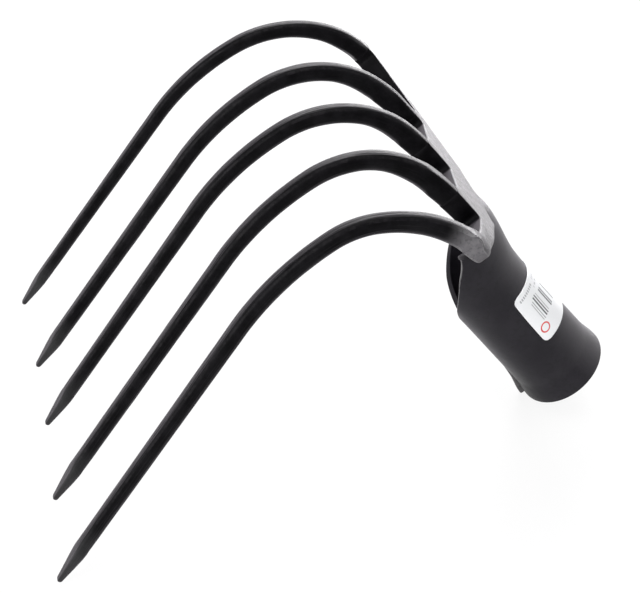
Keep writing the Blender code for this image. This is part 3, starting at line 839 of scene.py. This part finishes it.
# Corners of the flat plate, anticlockwise: y, u, edge radius and marks for a gap's side and for a stub's end
def plateOutline():
    foot = [float(flankLength(head["neckU"], way)) for way in ("near", "far")]

    def outerSide(index, footLength):
        outer = outerEdge(index)
        top = head["footU"] + stubTops[index]
        levels = np.arange(plate["neckStart"], top - 2 * plate["lastStep"], plate["outlineStep"])
        levels = np.append(levels, [top - plate["lastStep"], top])
        heights = levels - head["footU"]
        onTine = abs(middleY(index, heights)) + tineSide(index, heights) / 2
        reach = np.where(heights > shoulderTop(outer), onTine, fanHalfWidth(levels, outer, footLength))
        toFan = rise(levels, head["neckU"], plate["edgeRun"])
        edges = plate["neckEdge"] + (plate["fanEdge"] - plate["neckEdge"]) * toFan
        toStub = rise(heights, shoulderTop(outer) - plate["stubEdgeStart"], plate["stubEdgeRun"])
        edges = edges + (plate["gapEdge"] - edges) * toStub
        side = [[y, u, edge, 0.0, 0.0] for y, u, edge in zip(reach, levels, edges)]
        side[-1][4] = 1.0
        return np.array(side)

    outline = [outerSide(0, foot[1])]
    sideCount, gapCount = plate["gapPoints"]
    for index, heights in enumerate(fan["gapEnds"]):
        sides = ((index, -1.0), (index + 1, 1.0))
        left, right = (tineEdge(beside, stubTops[beside], way) for beside, way in sides)
        ends = [np.array([middleY(beside, height) + way * (tine["Root Side"][beside] / 2 + fan["gapFillet"]),
                          head["footU"] + height]) for (beside, way), height in zip(sides, heights)]
        slant = (ends[1] - ends[0]) / (ends[1][0] - ends[0][0])
        corners = [ends[0] + slant * fan["gapFillet"], ends[1] - slant * fan["gapFillet"]]
        for corner, (beside, way) in zip(corners, sides):
            corner[0] = tineEdge(beside, corner[1] - head["footU"], way)[0]
        first = roundCorner(left, corners[0], corners[1], fan["gapFillet"])
        second = roundCorner(corners[0], corners[1], right, fan["gapFillet"])
        down = np.linspace(left, first[0], sideCount)[:-1]
        across = np.linspace(first[-1], second[0], gapCount)[1:-1]
        up = np.linspace(second[-1], right, sideCount)[1:]
        spots = (*down, *first, *across, *second, *up)
        gap = np.array([[*spot, plate["gapEdge"], 1.0, 0.0] for spot in spots])
        gap[0, 4] = gap[-1, 4] = 1.0
        outline.append(gap)
    last = outerSide(4, foot[0])[::-1]
    last[:, 0] *= -1.0
    outline.append(last)
    bottom = np.linspace(-foot[0], foot[1], plate["bottomPoints"])[1:-1]
    outline.append(np.array([[y, plate["neckStart"], plate["neckEdge"], 0.0, 0.0] for y in bottom]))
    return np.concatenate(outline)


# How much the outer face drops towards the shoulders and the elbows of the outer tines
def rollOver(y, u, border):
    rolled = np.zeros(np.shape(y))
    for index, way in ((0, 1.0), (4, -1.0)):
        side = border[(border[:, 3] < 0.5) & (border[:, 0] * way > fan["footWidth"] + plate["rollClear"])]
        near = y * way > plate["rollFrom"]
        away = np.hypot(y[near][:, None] - side[None, :, 0], u[near][:, None] - side[None, :, 1]).min(axis=1)
        height = u[near] - head["footU"]
        zone = rise(height, plate["rollStart"], plate["rollRun"])
        zone = zone * fade(height, stubTops[index] - plate["rollStop"], plate["rollStopRun"])
        rolled[near] = plate["rollDepth"] * zone * np.maximum(1.0 - away / plate["rollWidth"], 0.0) ** 2
    return rolled


# Distance to each tine's middle line and which tine is the nearest
def nearestTine(y, height):
    away = np.stack([np.abs(y - middleY(index, height)) for index in range(5)])
    return away, np.argmin(away, axis=0)


# Places points of the flat plate: way is 1 on the outer face and -1 on the inner one, drop rounds the edges
def bendPlate(y, u, way, drop, border):
    start = head["neckU"] + head["jointGap"]
    swell = rise(u, start, head["footU"] - start)
    curve = (1.0 - swell) / middleRadius(head["neckU"])
    radius = 1.0 / np.maximum(curve, plate["leastCurve"])
    thickness = socket["sheet"] + (head["plateThickness"] - socket["sheet"]) * swell
    back = head["plateBack"] + (socketBack(head["neckU"]) - head["plateBack"]) * (1.0 - swell)
    lip = plate["neckLip"] * (1.0 - swell)
    points = bendPoints(y, u, way * (thickness / 2 + lip - drop), radius, back, thickness)
    height = u - head["footU"]
    roll = rollOver(y, u, border) if way > 0 else np.zeros(len(y))
    away, nearest = nearestTine(y, height)
    for index, path in enumerate(tinePaths):
        on = (height > 0.0) & (nearest == index)
        distance = height[on]
        x, z, angle = (np.interp(distance, path[:, 0], path[:, part]) for part in (1, 2, 3))
        beside = away[index][on] - tineSide(index, distance) / 2
        share = fade(beside, 0.0, plate["heelSpread"])
        half = head["plateThickness"] / 2
        half = half + (tineReach(index, distance)[0 if way > 0 else 1] - half) * share
        offset = way * (half - drop[on] - roll[on])
        x, z = x + offset * np.sin(angle), z - offset * np.cos(angle)
        points[on] = np.stack([x, rimMiddle[1] + y[on], z], axis=1)
    return points


# Painted shade: the near arm's rough face is darker towards its elbow
def armElbowShade(y):
    return fade(y, -plate["elbowShadeEnd"], plate["elbowShadeRun"])


def buildPlate(material):
    outline = plateOutline()
    spot, (edgeRadius, inGap), stubEnd = outline[:, :2], outline[:, 2:4].T, outline[:, 4] > 0.5
    before, after = spot - np.roll(spot, 1, axis=0), np.roll(spot, -1, axis=0) - spot
    normals = []
    for step in (before, after):
        step = step / np.linalg.norm(step, axis=1)[:, None]
        normals.append(np.stack([-step[:, 1], step[:, 0]], axis=1))
    inward = (normals[0] + normals[1]) / (1.0 + (normals[0] * normals[1]).sum(axis=1))[:, None]
    for index in np.nonzero(stubEnd)[0]:  # the stubs' ends stay square, because the tines carry on there
        own = normals[0][index] if abs(before[index, 1]) > abs(after[index, 1]) else normals[1][index]
        inward[index] = (math.copysign(1.0, own[0]), 0.0)
    inset, drop = roundSteps(1.0, plate["edgeRows"])
    sideWear = (1.0 - plate["gapWear"] * inGap) * ~stubEnd
    # the gaps' sides, the neck's low sides and the inner face keep the dark paint, without the painted
    # reflection
    sideDark = np.maximum(inGap, fade(spot[:, 1] - head["footU"], plate["sideStart"], plate["sideRun"]))
    rings, ringEdges, ringDark, ringElbowShade = [], [], [], []
    for way in (1.0, -1.0):
        order = range(len(inset) - 1, -1, -1) if way > 0 else range(len(inset))
        for step in order:
            place = spot + inward * (edgeRadius * inset[step])[:, None]
            rings.append(bendPlate(place[:, 0], place[:, 1], way, edgeRadius * drop[step], outline))
            ringEdges.append(sideWear * (0 < step < plate["edgeRows"]))
            ringDark.append(sideDark if step < plate["sideRows"] else np.full(len(spot), float(way < 0)))
            # painted shade on the outer face's rows towards the near elbow
            ringElbowShade.append(armElbowShade(spot[:, 0]) * (step >= plate["elbowShadeRows"] and way > 0))
    count = len(spot)
    grid = np.arange(len(rings) * count).reshape(-1, count)
    faces = gridFaces(np.concatenate([grid, grid[:, :1]], axis=1))

    # the two broad faces: triangles inside the last ring
    border = spot + inward * (edgeRadius * inset[-1])[:, None]
    top = head["footU"] + max(stubTops)
    bend, wide = head["footU"] + plate["faceOverlap"], plate["faceReach"]
    inner = []
    for low, high, step in ((plate["neckStart"], bend, plate["neckStep"]), (bend, top, plate["faceStep"])):
        grid = np.meshgrid(np.arange(-wide, wide, step), np.arange(low, high, step))
        inner.append(np.stack([part.ravel() for part in grid], axis=1))
    inner = np.concatenate(inner)
    first, second = border, np.roll(border, -1, axis=0)
    y, u = inner[:, :1], inner[:, 1:]
    crossing = (first[:, 1] > u) != (second[:, 1] > u)
    climb = second[:, 1] - first[:, 1]
    climb = np.where(np.abs(climb) < plate["leastClimb"], plate["leastClimb"], climb)
    at = first[:, 0] + (u - first[:, 1]) * ((second[:, 0] - first[:, 0]) / climb)
    within = (crossing & (y < at)).sum(axis=1) % 2 == 1
    clear = np.hypot(y - first[:, 0], u - first[:, 1]).min(axis=1)
    inner = inner[within & (clear > plate["clearance"])]
    points = [Vector(place) for place in np.concatenate([border, inner]) * head["perMetre"]]
    made = delaunay_2d_cdt(points, [], [list(range(count))], 1, plate["leastGap"])
    flat = np.array([tuple(place) for place in made[0]]) / head["perMetre"]
    broad = [bendPlate(flat[:, 0], flat[:, 1], way, np.zeros(len(flat)), outline) for way in (1.0, -1.0)]
    base = len(rings) * count
    for number, way in enumerate((1, -1)):
        for triangle in made[2]:
            faces.append(tuple(base + number * len(flat) + corner for corner in triangle[::way]))
    item = makePiece("headPlateForged", np.concatenate(rings + broad), faces)
    places = np.concatenate([spot] * len(rings) + [flat, flat])
    heights = places[:, 1] - head["footU"]
    away, nearest = nearestTine(places[:, 0], heights)
    # the plate's light face, partly painted reflection, gives way to the tines' dark paint near their stubs
    stub = rise(heights, np.array(stubTops)[nearest] - plate["finishRun"], plate["finishRun"])
    stub = stub * fade(away.min(axis=0), plate["stubWidth"], plate["stubFade"])
    outerWay = np.array(tine["Outer Way"])[nearest]  # the outer tines' outer sides stay rough
    outward = (places[:, 0] - middleY(nearest, heights)) * outerWay
    stub = stub * fade(outward, plate["outerWidth"], plate["outerFade"])
    stub = np.where(outerWay != 0.0, stub * plate["outerCrest"], stub)
    inside = np.concatenate([np.zeros(len(flat)), np.ones(len(flat))])
    storeValue(item, "edge", np.concatenate(ringEdges + [np.zeros(2 * len(flat))]))
    storeValue(item, "onTine", np.maximum(stub, np.concatenate(ringDark + [inside])))
    storeValue(item, "elbowShade", np.concatenate(ringElbowShade + [armElbowShade(flat[:, 0]), np.zeros(len(flat))]))
    work = bmesh.new()
    work.from_mesh(item.data)
    bmesh.ops.remove_doubles(work, verts=work.verts, dist=head["mergeDistance"])
    bmesh.ops.recalc_face_normals(work, faces=work.faces)
    work.to_mesh(item.data)
    openEdges = [edge for edge in work.edges if len(edge.link_faces) != 2]
    work.free()
    finishPiece(item, "head_plate", material)
    print("open edges:", len(openEdges))


# Label

label = {
    "u": 0.0501, "angle": -32.0, "turn": 3.0, "length": 0.0305, "width": 0.0297, "corner": 0.0030,
    "thickness": 0.0004, "lift": 0.00001, "rows": 60, "columns": 60,
}
labelPrint = {
    "paper": (0.89, 0.895, 0.91, 1.0), "paperShade": (0.85, 0.858, 0.878, 1.0),
    "ink": (0.05, 0.05, 0.06, 1.0), "red": (0.66, 0.05, 0.05, 1.0), "specular": 0.3, "roughness": 0.5,
    "grain": (900.0, 4.0, 0.55), "grainDepth": 0.01,
    # in millimetres: middle and width across, bottom and top along, then the ink's strength
    "bars": ((-8.4, 0.5, -5.4, 6.2, 0.5), (-7.3, 0.5, -5.6, 6.6, 0.55), (-5.7, 0.8, -5.3, 7.6, 0.9),
             (-4.3, 0.7, -5.3, 7.8, 0.85), (-2.9, 0.5, -4.8, 7.4, 0.45), (0.3, 0.9, -5.8, 6.0, 0.85),
             (1.7, 1.0, -5.8, 5.8, 0.65), (4.9, 1.0, -6.4, 5.0, 0.55)),
    # middle and height along, start and end across, pitch, then the ink's strength
    "dashRows": ((12.2, 1.5, -12.6, -1.0, 1.25, 0.5), (12.2, 1.5, 1.6, 9.0, 1.25, 0.3),
                 (9.4, 1.2, -1.0, 4.0, 2.4, 0.35)),
    "dashRange": (0.24, 0.36), "softness": 0.12,
    "ringMiddle": (-10.4, -8.6), "ringRadius": 2.7, "ringLine": 0.7,
}


def buildLabel(material):
    halfLength, halfWidth = label["length"] / 2, label["width"] / 2
    run = np.linspace(-halfLength, halfLength, label["rows"])[:, None]
    share = np.linspace(-1.0, 1.0, label["columns"])[None]
    past = np.maximum(np.abs(run) - halfLength + label["corner"], 0.0)
    trim = label["corner"] - np.sqrt(np.maximum(label["corner"] ** 2 - past ** 2, 0.0))
    across = (halfWidth - trim) * share
    run = np.broadcast_to(run, across.shape)
    turned = math.radians(label["turn"])
    u = label["u"] + run * math.cos(turned) - across * math.sin(turned)
    arc = across * math.cos(turned) + run * math.sin(turned)
    centre = socketBack(u) - socketRadius(u)
    faces = []
    for height in (head["jointGap"] + label["thickness"], label["lift"]):
        reach = socketRadius(u) + height
        angle = math.radians(label["angle"]) + arc / socketRadius(u)
        faces.append(headPoint(u, reach * np.sin(angle), centre + reach * np.cos(angle)))
    item = closedSheet("priceLabel", *faces)
    layer = item.data.uv_layers.new(name="labelFace")
    places = np.stack([across / label["width"] + 0.5, run / label["length"] + 0.5], axis=-1).reshape(-1, 2)
    corners = np.empty(len(item.data.loops), np.int32)
    item.data.loops.foreach_get("vertex_index", corners)
    layer.data.foreach_set("uv", np.tile(places, (2, 1))[corners].astype(np.float32).ravel())
    finishPiece(item, "label", material)


# Studio

studio = {
    "floorSize": 6.0, "floorColor": (0.82, 0.82, 0.82, 1.0), "floorRoughness": 0.9, "floorSpecular": 0.1,
    "floorWhite": 0.85, "skyLight": 0.36, "white": (1.0, 1.0, 1.0, 1.0),
    "lamps": (  # name, place, height it looks at, width, height, watts
        ("backBox", (0.62, 1.45, 0.78), 0.08, 0.75, 0.5, 11.0),
        ("backLeftBox", (-0.1, 1.45, 1.12), 0.08, 0.85, 0.5, 26.0),
        ("frontLeftBox", (-1.35, -0.95, 0.65), 0.08, 0.9, 0.8, 22.0),
        ("topBox", (-0.1, -0.1, 1.5), 0.08, 1.1, 1.1, 11.0),
        ("rightBox", (1.5, 0.1, 0.7), 0.08, 0.7, 0.7, 2.0),
        ("lowBox", (0.9, 1.3, 0.3), 0.1, 1.1, 0.45, 21.0),
    ),
}


# 1 for what the camera sees, directly or in a reflection or through glass
def seenShare(tree):
    path = named(tree.nodes.new("ShaderNodeLightPath").outputs)
    share = calc("MAXIMUM", path["Is Camera Ray"], path["Is Glossy Ray"])
    return calc("MAXIMUM", share, path["Is Transmission Ray"])


def mixSeen(tree, end, unseen, seen, share=1.0):
    mix = tree.nodes.new("ShaderNodeMixShader")
    for index, value in enumerate((seenShare(tree) * share, unseen.outputs[0], seen.outputs[0])):
        feed(mix.inputs[index], value)
    feed(tree.nodes[end].inputs["Surface"], mix.outputs[0])


def buildStudio():
    half = studio["floorSize"] / 2
    corners = [(-half, -half, 0.0), (half, -half, 0.0), (half, half, 0.0), (-half, half, 0.0)]
    floor = makePiece("studioFloor", corners, [(0, 1, 2, 3)])
    material, tree, shader = startFinish("floorPaper", studio["floorSpecular"])
    shader.inputs["Base Color"].default_value = studio["floorColor"]
    shader.inputs["Roughness"].default_value = studio["floorRoughness"]
    mixSeen(tree, "Material Output", shader, tree.nodes.new("ShaderNodeEmission"), studio["floorWhite"])
    floor.data.materials.append(material)

    world = bpy.data.worlds.new("studioWorld")
    bpy.context.scene.world = world
    world.use_nodes = True
    tree = world.node_tree
    soft = tree.nodes["Background"]
    soft.inputs["Strength"].default_value = studio["skyLight"]
    white = tree.nodes.new("ShaderNodeBackground")
    for node in (soft, white):
        node.inputs["Color"].default_value = studio["white"]
    mixSeen(tree, "World Output", soft, white)

    for name, place, aim, width, height, power in studio["lamps"]:
        lamp = bpy.data.lights.new(name, "AREA")
        lamp.shape = "RECTANGLE"
        lamp.size, lamp.size_y, lamp.energy = width, height, power
        item = addObject(name, lamp)
        item.location = place
        item.rotation_euler = (Vector((0.0, 0.0, aim)) - Vector(place)).to_track_quat("-Z", "Y").to_euler()
    print("studio ready")


# Camera, at the photograph's viewing angle

view = {
    "place": (-0.16712214, -0.55127899, 0.44851249),
    "right": (0.97007113, -0.23042463, 0.07659301),
    "down": (-0.06732445, -0.55829441, -0.82690675),
    "forward": (0.23330114, 0.79700178, -0.55709850),
    "lens": 85.696875, "sensor": 36.0, "nearest": 0.01,
}


def buildCamera():
    camera = bpy.data.cameras.new("photoCamera")
    item = addObject("photoCamera", camera)
    turned = Matrix([view["right"], [-part for part in view["down"]], [-part for part in view["forward"]]])
    item.matrix_world = Matrix.Translation(view["place"]) @ turned.transposed().to_4x4()
    camera.sensor_width, camera.lens, camera.clip_start = view["sensor"], view["lens"], view["nearest"]
    bpy.context.scene.camera = item
    bpy.context.scene.view_settings.view_transform = "Standard"


buildCamera()
buildStudio()
forgedPaint = buildForgedFinish()
buildTines(buildTineShape(), forgedPaint)
buildSocket(buildSocketFinish())
buildPlate(forgedPaint)
buildLabel(buildPaperFinish())
